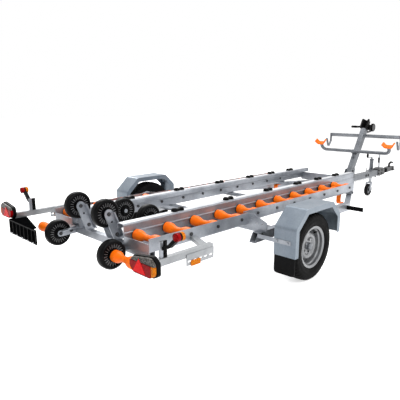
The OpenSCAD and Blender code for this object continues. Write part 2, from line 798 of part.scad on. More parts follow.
module winch_crank() {
    low_y = winch_plate_y + bracket_t + winch_boss_t;
    arm = 8;
    grip_l = 112;
    tip = crank_at + [-190, -24];
    color(colour_rubber) on_winch() {
        along_y(low_y, low_y + arm) slot_bar(crank_at, tip, 24);
        rod_y(tip.x, tip.y, low_y + arm, low_y + arm + grip_l, 13);
    }
}

// Mudguards, flaps and their stays
guard_bend = 36;
guard_folds = [
    [-guard_reach, 285], [-guard_reach, guard_top_z - 142], [-195, guard_top_z], [215, guard_top_z],
    [guard_reach, guard_top_z - 128], [guard_reach, 372]];
guard_line = rounded(guard_folds, guard_bend, 5);
module mudguard() {
    lip_line = rounded(side_line(guard_folds, -guard_lip), guard_bend / 2, 5);
    color(colour_zinc) {
        along_y(guard_in_y, guard_out_y) strip(guard_line, guard_t);
        for (y = [guard_in_y, guard_out_y - guard_t]) along_y(y, y + guard_t)
            polygon(concat(side_line(guard_line, guard_t / 2), backwards(lip_line)));
    }
}
module mudflaps() {
    t = 6;
    flap_h = 210;
    color(colour_rubber) both_sides() along_x(-guard_reach + guard_t / 2, -guard_reach + guard_t / 2 + t)
        translate([guard_in_y + guard_t + 1, flap_bottom_z]) soft_square([guard_w - 2 * guard_t - 2, flap_h], 14);
}
module guard_stay(x, inner_x) {
    side_face = side_y + tube_w / 2;
    low_z = tube_low_z + 42;
    high_z = low_z + 34;
    out_y = guard_in_y + 160;
    along_z(low_z, high_z) {
        polygon([[min(x, x + bracket_t), side_face], [max(x, x + bracket_t), side_face],
                 [max(x, x + bracket_t), out_y], [min(x, x + bracket_t), out_y]]);
        translate([min(x, inner_x), side_face]) square([abs(inner_x - x), bracket_t]);
    }
}
module guard_stays() {
    color(colour_zinc) both_sides() {
        guard_stay(-guard_reach - guard_t / 2 - bracket_t, -guard_reach + 110);
        guard_stay(guard_reach + guard_t / 2, guard_reach - 110);
    }
}

// Lamps and number plate
carrier_y = lamp_y - 85;
carrier_w = 40;
carrier_low_z = 472;
carrier_h = 48;
lamp_back = lamp_rear - 55;
module lamp_carrier() {
    arm_w = 60;
    arm_h = 26;
    arm_lead = 45;
    slot_l = 34;
    slot_w = 14;
    slots = 5;
    slot_pitch = 52;
    plate_low = 54;
    plate_y = carrier_y + carrier_w;
    wall_y = outer_rear_y + sheet / 2;
    rear_x = -lamp_back;
    front_x = rear_x + 615;
    plate_x = front_x - slots * slot_pitch;
    box([rear_x, carrier_y, carrier_low_z], [front_x, carrier_y + carrier_w, carrier_low_z + carrier_h]);
    along_z(carrier_low_z, carrier_low_z + arm_h)
        polygon([[front_x + arm_lead, wall_y], [front_x + arm_lead + arm_w, wall_y], [front_x, carrier_y],
                 [front_x - arm_w, carrier_y]]);
    along_y(plate_y, plate_y + bracket_t) difference() {
        translate([plate_x, carrier_low_z - plate_low]) square([slots * slot_pitch, plate_low + carrier_h / 2]);
        for (i = [0:slots - 1]) translate([plate_x + slot_pitch * (i + 0.5), carrier_low_z - plate_low / 2])
            slot_bar([slot_w - slot_l, 0] / 2, [slot_l - slot_w, 0] / 2, slot_w);
    }
}
module lamp_carriers() { color(colour_alu) both_sides() lamp_carrier(); }
// A lamp is taller on its outer side, and its corners are cut off and rounded
module lamp_outline(inset) {
    slope = 26;
    cut = 34;
    low = [inset, inset];
    high = [lamp_w - inset, lamp_h - inset];
    polygon(rounded_loop([
        [low.x + cut, low.y], [high.x - cut, low.y], [high.x, low.y + cut * 0.6], [high.x, high.y - cut],
        [high.x - cut * 1.2, high.y], [low.x + cut * 0.6, high.y - slope], [low.x, high.y - slope - cut * 0.6],
        [low.x, low.y + cut]], 12));
}
module tail_lamps() {
    low_z = carrier_low_z + 4;
    back_t = 20;
    color(colour_red) both_sides() translate([0, lamp_y - lamp_w / 2, low_z]) {
        along_x(-lamp_back - back_t, -lamp_back) lamp_outline(0);
        along_x(-lamp_rear, -lamp_back - back_t) lamp_outline(6);
    }
}
module marker_lamps() {
    x = -1500;
    wide = 30;
    base_y = carrier_y + carrier_w / 2;
    top_z = carrier_low_z + carrier_h;
    line = rounded([[base_y, top_z + 60], [base_y + 70, top_z + 90], [base_y + 150, top_z + 165]], 30);
    color(colour_rubber) both_sides() {
        box([x, base_y - 6, top_z], [x + 56, base_y + 6, top_z + 110]);
        along_x(x + 12, x + 12 + wide) strip(line, 24);
        rod_x(x - 2, x + 12 + wide + 14, base_y + 152, top_z + 168, 27);
    }
}
module plate_holder() {
    t = 8;
    shelf_t = 4;
    out_y = carrier_y + carrier_w - 10;
    in_y = out_y - plate_w;
    top_z = carrier_low_z - shelf_t;
    face_x = -lamp_rear + 8;
    color(colour_rubber) {
        box([face_x, in_y, top_z - plate_h], [face_x + t, out_y, top_z]);
        along_z(top_z, top_z + shelf_t) polygon([[face_x, in_y + 40], [face_x + 40, in_y + 60],
            [face_x + 150, carrier_y], [face_x + 150, out_y], [face_x, out_y]]);
    }
}
module front_markers() {
    length = 180;
    tall = 44;
    thick = 12;
    y = side_y + tube_w / 2;
    x = leg_bend_x - 60;
    color(colour_rubber) both_sides() box([x, y, tube_low_z + 18], [x + thick, y + length, tube_low_z + 18 + tall]);
}

// Overrun coupling
ball_x = nose_x - 62;
shaft_z = spine_z + spine_h / 2;
housing_l = 250;
housing_front = spine_front + housing_l;
gaiter_front = housing_front + 130;
head_rear = gaiter_front + 20;
draw_r = 24;
housing_half_w = 48;
housing_top = spine_top_z + 30;
cup_top = ball_z + 46;
rod_z = spine_z - 26;
lug_t = 18;
module coupling_head() {
    half_w = housing_half_w;
    cup_r = 46;
    jaw_h = 70;
    color(colour_steel) difference() {
        union() {
            along_y(-half_w, half_w) polygon([
                [spine_front, spine_z - 6], [spine_front, spine_top_z + 14], [spine_front + 60, housing_top],
                [spine_front + 170, housing_top], [housing_front, shaft_z + 44], [housing_front, shaft_z - 44],
                [spine_front + 60, spine_z - 14]]);
            rod_x(housing_front - 1, head_rear + 30, 0, shaft_z, draw_r);
            along_y(-34, 34) polygon([
                [head_rear, shaft_z - 34], [head_rear, shaft_z + 34], [head_rear + 80, cup_top],
                [ball_x + 20, cup_top], [ball_x + 44, cup_top - 18], [ball_x + 44, cup_top - jaw_h],
                [ball_x - 40, cup_top - jaw_h]]);
            translate([ball_x, 0, cup_top - jaw_h - 8]) cylinder(r = cup_r, h = jaw_h);
            translate([ball_x, 0, ball_z - 20]) cylinder(r = nose_x - ball_x, h = 14);
            box([spine_front + 2, -8, rod_z - 12], [spine_front + 2 + lug_t, 8, spine_z]);
        }
        translate([ball_x, 0, cup_top - jaw_h - 9]) cylinder(r = ball_r, h = ball_z - (cup_top - jaw_h - 9));
        translate([ball_x, 0, ball_z]) sphere(ball_r);
    }
}
// Brake rod under the spine, from the overrun housing's lug to the axle tube
module brake_rod() {
    color(colour_steel) rod_x(axle_lead + axle_tube / 2, spine_front + 2, 0, rod_z, 5);
}
module coupling_gaiter() {
    folds = 5;
    fold_l = (gaiter_front - housing_front) / folds;
    bore = draw_r + hole_gap;
    color(colour_rubber) translate([housing_front, 0, shaft_z]) rotate([0, 90, 0]) rotate_extrude() polygon(concat(
        [[bore, 0]],
        [for (i = [0:folds - 1]) each [[34, fold_l * i], [42, fold_l * (i + 0.5)]]],
        [[32, fold_l * folds], [bore, fold_l * folds]]));
}
module coupling_handle() {
    start = [ball_x - 100, cup_top];
    line = rounded([start, start + [0, 44], start + [80, 72], start + [140, 52]], 16);
    color(colour_rubber) along_y(-14, 14) strip(line, 20);
}
module handbrake_lever() {
    foot = [spine_front + 130, housing_top];
    line = rounded([foot, foot + [0, 60], foot + [-34, 130], foot + [-20, 215]], 30);
    color(colour_steel) {
        along_y(-16, 16) strip(line, 22);
        along_y(-13, 13) translate(foot + [-20, 215]) circle(16);
    }
}

// Jockey wheel
sleeve_r = 30;
sleeve_wall = 4.5;
leg_r = sleeve_r - sleeve_wall;
fork_top = jockey_r * 2 + 26;
sleeve_low = fork_top + jockey_lift + 6;
sleeve_top = sleeve_low + 250;
module jockey_tube() {
    clamp_h = 60;
    clamp_z = shaft_z - clamp_h / 2 + 10;
    clamp_y = housing_half_w;
    screw_l = 50;
    tee_l = 90;
    color(colour_zinc) difference() {
        union() {
            translate([jockey_x, jockey_y, sleeve_low]) cylinder(r = sleeve_r, h = sleeve_top - sleeve_low);
            translate([jockey_x, jockey_y, sleeve_top]) cylinder(r = sleeve_r + 4, h = 14);
            translate([jockey_x, jockey_y, sleeve_top + 14]) cylinder(r = 12, h = 20);
            along_z(sleeve_top + 34, sleeve_top + 42)
                slot_bar([jockey_x, jockey_y], [jockey_x - 100, jockey_y + 30], 22);
            translate([jockey_x - 100, jockey_y + 30, sleeve_top + 42]) cylinder(r = 13, h = 70);
            translate([jockey_x, jockey_y, clamp_z]) cylinder(r = sleeve_r + 10, h = clamp_h);
            box([jockey_x - 32, clamp_y, clamp_z], [jockey_x + 32, jockey_y, clamp_z + clamp_h]);
            rod_y(jockey_x, shaft_z + 10, jockey_y + sleeve_r, jockey_y + sleeve_r + screw_l, 7);
            translate([jockey_x, jockey_y + sleeve_r + screw_l - 5, shaft_z + 10 - tee_l / 2])
                cylinder(r = 6, h = tee_l);
        }
        translate([jockey_x, jockey_y, sleeve_low - 1])
            cylinder(r = leg_r + running_gap, h = sleeve_top - sleeve_low - 9);
    }
}
jockey_pin_r = 10;
fork_plate_t = 14;
module jockey_leg() {
    leg_low = fork_top + hole_gap;
    color(colour_steel) {
        translate([jockey_x, jockey_y, leg_low]) cylinder(r = leg_r, h = sleeve_top - jockey_lift - 30 - leg_low);
        translate([jockey_x, jockey_y, fork_top - fork_plate_t - 4])
            cylinder(r = jockey_pin_r, h = fork_plate_t + 5);
    }
}
module jockey_fork() {
    cheek_t = 6;
    cheek_y = jockey_w / 2 + 6;
    cheek_w = 44;
    hub = [jockey_x - jockey_trail, jockey_r];
    top_z = fork_top - fork_plate_t;
    color(colour_zinc) {
        difference() {
            translate([0, jockey_y, top_z]) linear_extrude(fork_plate_t) {
                translate([jockey_x, 0]) circle(leg_r + 6);
                translate([hub.x - 20, -cheek_y - cheek_t]) square([jockey_trail + 24, 2 * (cheek_y + cheek_t)]);
            }
            translate([jockey_x, jockey_y, top_z - 1])
                cylinder(r = jockey_pin_r + running_gap, h = fork_plate_t + 2);
        }
        for (side = [0, 1]) translate([0, jockey_y, 0]) mirror([0, side, 0]) along_y(cheek_y, cheek_y + cheek_t) {
            translate(hub) circle(d = cheek_w);
            polygon([hub + [-cheek_w / 2, 0], hub + [cheek_w / 2, 0], [jockey_x, top_z], [hub.x - 20, top_z]]);
        }
        rod_y(hub.x, hub.y, jockey_y - cheek_y - cheek_t, jockey_y + cheek_y + cheek_t, 8);
    }
}
module jockey_wheel() {
    half = jockey_w / 2;
    bore = 8 + running_gap;
    color(colour_rubber) spun_y(jockey_x - jockey_trail, jockey_y, jockey_r)
        polygon([[bore, -half], [22, -half], [26, -half + 12], [62, -half + 12], [66, -half + 3],
                 [jockey_r - 12, -half + 2], [jockey_r, -half + 16], [jockey_r, half - 16], [jockey_r - 12, half - 2],
                 [66, half - 3], [62, half - 12], [26, half - 12], [22, half], [bore, half]]);
}

placed() on_right() side_tube();  // side_tube_right
placed() side_tube();  // side_tube_left
placed() on_right() drawbar_leg();  // drawbar_leg_right
placed() drawbar_leg();  // drawbar_leg_left
placed() spine_tube();
placed() cross_bearers();
placed() axle_beam();
placed() stub_arms();
placed() on_right() roller_channel();  // roller_channel_right
placed() roller_channel();  // roller_channel_left
placed() on_right() keel_rollers();  // keel_rollers_right
placed() keel_rollers();  // keel_rollers_left
placed() roller_shafts();
placed() slide_pads();
placed() rear_cross_tube();
placed() rocker_right();
placed() rocker_left();
placed() end_rollers();
placed() on_right() support_wheel(support_low);  // support_low_right
placed() support_wheel(support_low);  // support_low_left
placed() on_right() support_wheel(support_high);  // support_high_right
placed() support_wheel(support_high);  // support_high_left
placed() on_right() support_wheel(support_front);  // support_front_right
placed() support_wheel(support_front);  // support_front_left
placed() winch_post();
placed() bow_stop();
placed() upper_bar();
placed() mast_hooks();
placed() lower_bar();
placed() mast_cradles();
placed() winch();
placed() winch_crank();
placed() on_right() mudguard();  // mudguard_right
placed() mudguard();  // mudguard_left
placed() mudflaps();
placed() guard_stays();
placed() on_right() tyre();  // tyre_right
placed() tyre();  // tyre_left
placed() on_right() rim();  // rim_right
placed() rim();  // rim_left
placed() on_right() brake_drum();  // brake_drum_right
placed() brake_drum();  // brake_drum_left
placed() lamp_carriers();
placed() tail_lamps();
placed() marker_lamps();
placed() plate_holder();
placed() front_markers();
placed() coupling_head();
placed() coupling_gaiter();
placed() coupling_handle();
placed() handbrake_lever();
placed() jockey_tube();
placed() jockey_leg();
placed() jockey_fork();
placed() jockey_wheel();
placed() brake_rod();
placed() strap_hooks();
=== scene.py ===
"""Dresses the boat trailer: finishes, tread, pads, lamps, fittings, floor, light and camera."""
import json
import math

import bmesh
import bpy
from mathutils import Matrix, Vector


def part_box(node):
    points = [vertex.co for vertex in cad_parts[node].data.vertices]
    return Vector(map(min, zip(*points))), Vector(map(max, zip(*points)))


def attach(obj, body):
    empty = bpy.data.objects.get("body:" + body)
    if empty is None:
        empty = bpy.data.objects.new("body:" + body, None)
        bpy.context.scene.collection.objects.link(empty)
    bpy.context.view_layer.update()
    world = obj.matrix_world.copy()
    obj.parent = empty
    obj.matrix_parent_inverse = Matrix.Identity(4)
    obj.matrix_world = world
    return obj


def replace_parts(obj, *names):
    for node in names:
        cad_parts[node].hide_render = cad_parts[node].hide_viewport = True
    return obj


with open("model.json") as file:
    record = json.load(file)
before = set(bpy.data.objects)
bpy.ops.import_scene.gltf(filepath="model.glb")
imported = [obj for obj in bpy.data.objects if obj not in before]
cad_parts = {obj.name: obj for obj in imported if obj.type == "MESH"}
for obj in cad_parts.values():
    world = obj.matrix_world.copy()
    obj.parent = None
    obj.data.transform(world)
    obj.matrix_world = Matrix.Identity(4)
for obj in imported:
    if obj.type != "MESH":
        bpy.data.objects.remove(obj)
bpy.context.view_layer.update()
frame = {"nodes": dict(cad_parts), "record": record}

NODES = frame["nodes"]
ROOT = "trailer"

# Camera of the photograph, in the trailer's frame
PHOTO_SIDE_PX = 400
FOCAL_PX = 432.33
SENSOR_MM = 36.0
CAMERA_PLACE = Vector((-4.6327, -2.9410, 1.4477))
CAMERA_YAW = 0.781387
CAMERA_PITCH = 0.209258


# Materials
class Finish:
    """A procedural material: its shader, and short ways to add and join nodes."""

    def __init__(self, name, roughness=0.5, metallic=0.0, **sockets):
        self.material = bpy.data.materials.new(name)
        self.material.use_nodes = True
        self.tree = self.material.node_tree
        self.shader = self.tree.nodes["Principled BSDF"]
        self.set("Roughness", roughness)
        self.set("Metallic", metallic)
        for socket, value in sockets.items():
            self.set(socket.replace("_", " "), value)
        self.coords = self.tree.nodes.new("ShaderNodeTexCoord").outputs["Object"]

    def set(self, socket, value):
        self.shader.inputs[socket].default_value = value

    def join(self, source, target):
        self.tree.links.new(source, target)

    def noise(self, scale, detail=3.0, roughness=0.55):
        node = self.tree.nodes.new("ShaderNodeTexNoise")
        node.inputs["Scale"].default_value = scale
        node.inputs["Detail"].default_value = detail
        node.inputs["Roughness"].default_value = roughness
        self.join(self.coords, node.inputs["Vector"])
        return node.outputs["Fac"]

    def cells(self, scale, output="Color"):
        node = self.tree.nodes.new("ShaderNodeTexVoronoi")
        node.inputs["Scale"].default_value = scale
        self.join(self.coords, node.inputs["Vector"])
        return node.outputs[output]

    def ramp(self, source, stops):
        node = self.tree.nodes.new("ShaderNodeValToRGB")
        ramp = node.color_ramp
        while len(ramp.elements) < len(stops):
            ramp.elements.new(0.5)
        for element, (place, colour) in zip(ramp.elements, stops):
            element.position = place
            element.color = (*colour, 1.0)
        self.join(source, node.inputs["Fac"])
        return node.outputs["Color"]

    def mix(self, a, b, factor=0.5, kind="MIX"):
        node = self.tree.nodes.new("ShaderNodeMix")
        node.data_type = "RGBA"
        node.blend_type = kind
        node.inputs["Factor"].default_value = factor
        self.join(a, node.inputs["A"])
        self.join(b, node.inputs["B"])
        return node.outputs["Result"]

    def level(self, source, low, high):
        node = self.tree.nodes.new("ShaderNodeMapRange")
        node.inputs["To Min"].default_value = low
        node.inputs["To Max"].default_value = high
        self.join(source, node.inputs["Value"])
        return node.outputs["Result"]

    def bump(self, height, strength, distance=0.001):
        node = self.tree.nodes.new("ShaderNodeBump")
        node.inputs["Strength"].default_value = strength
        node.inputs["Distance"].default_value = distance
        self.join(height, node.inputs["Height"])
        self.join(node.outputs["Normal"], self.shader.inputs["Normal"])

    def colour(self, source):
        self.join(source, self.shader.inputs["Base Color"])

    def rough(self, source):
        self.join(source, self.shader.inputs["Roughness"])


def galvanised(name, dark, light, metallic, rough_low, rough_high):
    """Zinc with a spangle of crystals, slow clouding and a fine grain."""
    finish = Finish(name, metallic=metallic)
    spangle = finish.cells(90.0)
    clouds = finish.noise(5.0, detail=5.0)
    tint = finish.ramp(clouds, [(0.3, dark), (0.7, light)])
    crystals = finish.ramp(spangle, [(0.1, (0.82, 0.83, 0.85)), (0.9, (1.0, 1.0, 1.0))])
    finish.colour(finish.mix(tint, crystals, 0.6, "MULTIPLY"))
    finish.rough(finish.level(finish.noise(22.0), rough_low, rough_high))
    finish.bump(finish.noise(160.0), 0.12, 0.0006)
    return finish.material


def moulded(name, dark, light, rough_low, rough_high, grain=0.15, **sockets):
    """Moulded rubber or plastic with slight colour drift and a fine grain."""
    finish = Finish(name, **sockets)
    finish.colour(finish.ramp(finish.noise(14.0, detail=4.0), [(0.3, dark), (0.7, light)]))
    finish.rough(finish.level(finish.noise(40.0), rough_low, rough_high))
    finish.bump(finish.noise(420.0, detail=2.0), grain, 0.0005)
    return finish.material


def lens(name, dark, light, ribs):
    """Lamp plastic: a clear coat over coloured prisms."""
    finish = Finish(name, roughness=0.24, Specular_IOR_Level=0.05, Coat_Weight=0.03, Coat_Roughness=0.08)
    prisms = finish.cells(ribs, "Distance")
    finish.colour(finish.ramp(prisms, [(0.0, light), (0.7, dark)]))
    finish.bump(prisms, 0.35, 0.002)
    return finish.material


MATERIALS = {
    "zinc": galvanised("zinc", (0.235, 0.25, 0.278), (0.40, 0.42, 0.455), 0.62, 0.26, 0.44),
    # bright_zinc serves as the painted highlight on the tops of the channels' inner flanges.
    "bright_zinc": galvanised("bright_zinc", (0.60, 0.615, 0.64), (0.78, 0.79, 0.81), 0.35, 0.26, 0.4),
    "dark_zinc": galvanised("dark_zinc", (0.095, 0.102, 0.114), (0.185, 0.196, 0.212), 0.55, 0.28, 0.44),
    "guard_zinc": galvanised("guard_zinc", (0.155, 0.19, 0.232), (0.235, 0.272, 0.312), 0.45, 0.3, 0.44),
    "bright_steel": galvanised("bright_steel", (0.34, 0.35, 0.365), (0.52, 0.53, 0.545), 0.8, 0.22, 0.4),
    "rim": galvanised("rim", (0.17, 0.174, 0.18), (0.265, 0.27, 0.278), 0.6, 0.26, 0.4),
    "alu": galvanised("alu", (0.24, 0.25, 0.26), (0.38, 0.39, 0.40), 0.65, 0.26, 0.4),
    "cast": moulded("cast", (0.003, 0.003, 0.0033), (0.010, 0.010, 0.011), 0.34, 0.52,
                    grain=0.4, Specular_IOR_Level=0.08),
    "bolt": galvanised("bolt", (0.025, 0.025, 0.027), (0.065, 0.065, 0.069), 0.6, 0.3, 0.45),
    "orange": moulded("orange", (0.98, 0.150, 0.001), (1.0, 0.195, 0.002), 0.34, 0.46,
                      grain=0.06, Specular_IOR_Level=0.2),
    # rib: lighter grey rubber, a painted highlight along the support wheels' ribs.
    "rib": moulded("rib", (0.085, 0.085, 0.088), (0.14, 0.14, 0.145), 0.24, 0.36, grain=0.05),
    "black_rubber": moulded("black_rubber", (0.0012, 0.0012, 0.0014), (0.0045, 0.0045, 0.005), 0.30, 0.46,
                            Specular_IOR_Level=0.06),
    "tyre": moulded("tyre", (0.0022, 0.0022, 0.0024), (0.0075, 0.0072, 0.0072), 0.5, 0.72,
                    grain=0.3, Specular_IOR_Level=0.05),
    "black_plastic": moulded("black_plastic", (0.0012, 0.0012, 0.0014), (0.004, 0.004, 0.0044), 0.32, 0.48,
                             Specular_IOR_Level=0.04),
    "matt_black": moulded("matt_black", (0.0012, 0.0012, 0.0014), (0.004, 0.004, 0.0044), 0.6, 0.8,
                          Specular_IOR_Level=0.0),
    "lamp": lens("lamp", (0.20, 0.001, 0.002), (0.46, 0.003, 0.005), 160.0),
    "amber": lens("amber", (0.50, 0.12, 0.003), (0.90, 0.30, 0.012), 160.0),
    "smoke": lens("smoke", (0.05, 0.046, 0.043), (0.24, 0.225, 0.21), 120.0),
    "reflector": lens("reflector", (0.72, 0.002, 0.004), (0.95, 0.006, 0.008), 320.0),
}


# Nodes whose finish differs from the rest of their slot
FINISH_OF_NODE = {
    "roller_shafts": "bolt", "winch": "bolt", "brake_drum_left": "cast", "brake_drum_right": "cast",
    "winch_post": "dark_zinc", "spine_tube": "dark_zinc", "upper_bar": "dark_zinc", "lower_bar": "dark_zinc",
    "mast_hooks": "dark_zinc", "coupling_head": "bolt", "jockey_tube": "dark_zinc",
    "plate_holder": "matt_black",
}


def paint_cad_nodes():
    """Gives each node of the frame the finish of its own material slot."""
    for part in frame["record"]["subparts"]:
        node = NODES[part["node"]]
        node.data.materials.clear()
        node.data.materials.append(MATERIALS[FINISH_OF_NODE.get(part["node"], part["material_slot"])])


# Mesh helpers; places are in metres, and a piece rides on one body of the frame
SHARP_ANGLE = math.radians(32)
SIDES = {"right": -1, "left": 1}


def add_piece(name, mesh, body, slot, finish=None, bevel=0.0):
    """Makes an object of a bmesh, with sharp edges kept, that rides on a body."""
    bmesh.ops.recalc_face_normals(mesh, faces=mesh.faces)
    for face in mesh.faces:
        face.smooth = True
    for edge in mesh.edges:
        edge.smooth = len(edge.link_faces) == 2 and edge.calc_face_angle() < SHARP_ANGLE
    data = bpy.data.meshes.new(name)
    mesh.to_mesh(data)
    mesh.free()
    piece = bpy.data.objects.new(name, data)
    bpy.context.scene.collection.objects.link(piece)
    data.materials.append(MATERIALS[finish or slot])
    if bevel:
        rounding = piece.modifiers.new("rounding", "BEVEL")
        rounding.width = bevel
        rounding.segments = 2
        rounding.limit_method = "ANGLE"
    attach(piece, body)
    return piece


def axis_frame(axis):
    """A matrix whose Z is the given axis."""
    return Vector(axis).to_track_quat("Z", "Y").to_matrix().to_4x4()


def add_rings(mesh, rings):
    """Joins rings of points, the last to the first one, into one closed skin."""
    rows = [[mesh.verts.new(point) for point in ring] for ring in rings]
    for row, after in zip(rows, rows[1:] + rows[:1]):
        for i, vert in enumerate(row):
            j = (i + 1) % len(row)
            mesh.faces.new((vert, row[j], after[j], after[i]))


def add_lathe(mesh, centre, axis, profile, segments, shape=None):
    """Turns a closed (radius, along) profile; shape may move a point at a given segment."""
    place = Matrix.Translation(centre) @ axis_frame(axis)
    rings = []
    for i in range(segments):
        turn = 2 * math.pi * i / segments
        ring = []
        for k, (radius, along) in enumerate(profile):
            if shape:
                radius, along = shape(i, k, radius, along)
            ring.append(place @ Vector((radius * math.cos(turn), radius * math.sin(turn), along)))
        rings.append(ring)
    add_rings(mesh, rings)


def add_prism(mesh, outline, low, high, place):
    """A flat outline between two levels; place turns (u, v, w) into a point."""
    bottom = [mesh.verts.new(place(u, v, low)) for u, v in outline]
    top = [mesh.verts.new(place(u, v, high)) for u, v in outline]
    mesh.faces.new(bottom)
    mesh.faces.new(top)
    for i in range(len(outline)):
        j = (i + 1) % len(outline)
        mesh.faces.new((bottom[i], bottom[j], top[j], top[i]))


def add_loft(mesh, rings):
    """Joins rings of points in a row and closes both ends."""
    rows = [[mesh.verts.new(point) for point in ring] for ring in rings]
    mesh.faces.new(rows[0])
    mesh.faces.new(rows[-1])
    for row, after in zip(rows, rows[1:]):
        for i, vert in enumerate(row):
            j = (i + 1) % len(row)
            mesh.faces.new((vert, row[j], after[j], after[i]))


def ring_points(radius, count):
    turns = [2 * math.pi * i / count for i in range(count)]
    return [(radius * math.cos(turn), radius * math.sin(turn)) for turn in turns]


def clipped(outline, a, b, c):
    """The part of an outline where a*u + b*v is at most c."""
    kept = []
    for (u0, v0), (u1, v1) in zip(outline, outline[1:] + outline[:1]):
        d0, d1 = a * u0 + b * v0 - c, a * u1 + b * v1 - c
        if d0 <= 0:
            kept.append((u0, v0))
        if d0 * d1 < 0:
            share = d0 / (d0 - d1)
            kept.append((u0 + share * (u1 - u0), v0 + share * (v1 - v0)))
    return kept


def softened(outline, cut):
    """An outline with each corner replaced by a short curve."""
    points = []
    count = len(outline)
    for i, corner in enumerate(outline):
        here = Vector(corner)
        before, after = Vector(outline[i - 1]) - here, Vector(outline[(i + 1) % count]) - here
        start = here + before.normalized() * min(cut, before.length * 0.45)
        end = here + after.normalized() * min(cut, after.length * 0.45)
        for step in range(5):
            t = step / 4
            points.append(tuple((1 - t) ** 2 * start + 2 * t * (1 - t) * here + t ** 2 * end))
    return points


def add_bolt(mesh, centre, axis, size):
    """A washer under a hexagon head with a chamfered rim."""
    place = Matrix.Translation(centre) @ axis_frame(axis)

    def put(u, v, w):
        return place @ Vector((u, v, w))

    washer = 0.18 * size
    head = washer + 0.7 * size
    add_prism(mesh, ring_points(1.25 * size, 20), 0.0, washer, put)
    levels = [(1.0, washer), (1.0, head - 0.12 * size), (0.84, head)]
    rows = [[mesh.verts.new(put(u, v, w)) for u, v in ring_points(size * scale, 6)] for scale, w in levels]
    mesh.faces.new(rows[0])
    mesh.faces.new(rows[-1])
    for row, after in zip(rows, rows[1:]):
        for i in range(6):
            j = (i + 1) % 6
            mesh.faces.new((row[i], row[j], after[j], after[i]))


def add_bolts(name, places, size, finish="bolt"):
    mesh = bmesh.new()
    for centre, axis in places:
        add_bolt(mesh, Vector(centre), axis, size)
    add_piece(name, mesh, ROOT, "bright_steel", finish)


def corners(node):
    """A node's lowest and highest corner at rest."""
    low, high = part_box(node)
    return Vector(low), Vector(high)


def middle_of(node):
    low, high = corners(node)
    return (low + high) / 2


def mirrored(flank):
    """A closed (radius, along) profile from the half of it on one side."""
    return flank + [(radius, -along) for radius, along in reversed(flank)]


def both(points):
    """The same places and directions on both sides of the trailer."""
    return [
        ((x, side * y, z), (ax, side * ay, az))
        for (x, y, z), (ax, ay, az) in points for side in SIDES.values()
    ]


# Road wheels
def add_tyre(side):
    """A tyre with four grooves round it, cut shoulder blocks and ridges on the wall."""
    node = f"tyre_{side}"
    low, high = corners(node)
    outer = (high.z - low.z) / 2
    half = (high.y - low.y) / 2
    bead = outer - 0.1297
    wall = [
        (bead, half - 0.0224), (bead + 0.018, half - 0.0184), (bead + 0.0257, half - 0.011),
        (bead + 0.032, half - 0.0075), (bead + 0.034, half - 0.0062), (bead + 0.038, half - 0.0062),
        (bead + 0.040, half - 0.0050), (bead + 0.055, half - 0.0015), (bead + 0.070, half),
        (bead + 0.073, half - 0.0012), (bead + 0.078, half - 0.0012), (bead + 0.081, half - 0.0006),
        (outer - 0.032, half - 0.003), (outer - 0.022, half - 0.008), (outer - 0.014, half - 0.013),
    ]
    shoulder = [
        (outer - 0.0085, half - 0.020), (outer - 0.0045, half - 0.028), (outer - 0.0025, half - 0.034),
    ]
    tread = [
        (outer - 0.0095, half - 0.0355), (outer - 0.0095, half - 0.0425), (outer - 0.0015, half - 0.044),
        (outer - 0.0005, half - 0.060), (outer - 0.0080, half - 0.0615), (outer - 0.0080, half - 0.0685),
        (outer, half - 0.070),
    ]
    flank = wall + shoulder + tread
    profile = mirrored(flank)
    blocks = 44
    steps = 5
    cut_rows = range(len(wall) - 2, len(wall) + len(shoulder))
    rib_rows = (len(wall) + len(shoulder) + 2, len(wall) + len(shoulder) + 3)

    def shape(i, k, radius, along):
        row = min(k, len(profile) - 1 - k)
        phase = i % steps if along > 0 else (i + 2) % steps
        if row in cut_rows and phase == 0:
            return radius - 0.0055, along * 0.985
        if row in rib_rows and phase == 3:
            return radius - 0.004, along
        return radius, along

    mesh = bmesh.new()
    add_lathe(mesh, middle_of(node), (0, 1, 0), profile, blocks * steps, shape)
    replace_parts(add_piece(f"tread_{side}", mesh, f"wheel_{side}", "tyre"), node)


# From the rim's disc to the end of the drum's cap
CAP_REACH = 0.036


def add_wheel_trim(side):
    """Hub cap and valve stem of a road wheel, and a black cone behind the rim's disc as painted shade in its
    vents.
    """
    sign = SIDES[side]
    drum_low, drum_high = corners(f"brake_drum_{side}")
    hub = (drum_low + drum_high) / 2
    end = drum_high.y if sign > 0 else -drum_low.y
    cap = [
        (0.0285, -0.030), (0.034, -0.030), (0.034, -0.026), (0.031, -0.022), (0.0305, -0.004),
        (0.026, 0.001), (0.012, 0.0022), (0.002, 0.0025), (0.002, 0.0005), (0.0285, 0.0005),
    ]
    mesh = bmesh.new()
    add_lathe(mesh, Vector((hub.x, sign * end, hub.z)), (0, sign, 0), cap, 48)
    add_piece(f"hub_cap_{side}", mesh, f"wheel_{side}", "bright_steel", "dark_zinc")

    # Painted shade: a black cone just behind the rim's disc keeps the disc's vents dark.
    shade_cone = [(0.1035, 0.0085), (0.1560, -0.0235), (0.1555, -0.0260), (0.1030, 0.0060)]
    mesh = bmesh.new()
    add_lathe(mesh, Vector((hub.x, sign * (end - CAP_REACH), hub.z)), (0, sign, 0), shade_cone, 64)
    add_piece(f"vent_shade_{side}", mesh, f"wheel_{side}", "cast")

    rim_face = corners(f"rim_{side}")[1 if sign > 0 else 0].y
    stem = [
        (0.0015, -0.024), (0.006, -0.024), (0.005, -0.012),
        (0.0038, 0.0), (0.0038, 0.004), (0.0015, 0.004),
    ]
    valve_x, valve_z, valve_depth = 0.108, 0.104, 0.034
    mesh = bmesh.new()
    place = Vector((hub.x + valve_x, rim_face - sign * valve_depth, hub.z + valve_z))
    add_lathe(mesh, place, (0.25, sign, 0.2), stem, 16)
    add_piece(f"valve_{side}", mesh, f"wheel_{side}", "black_rubber")


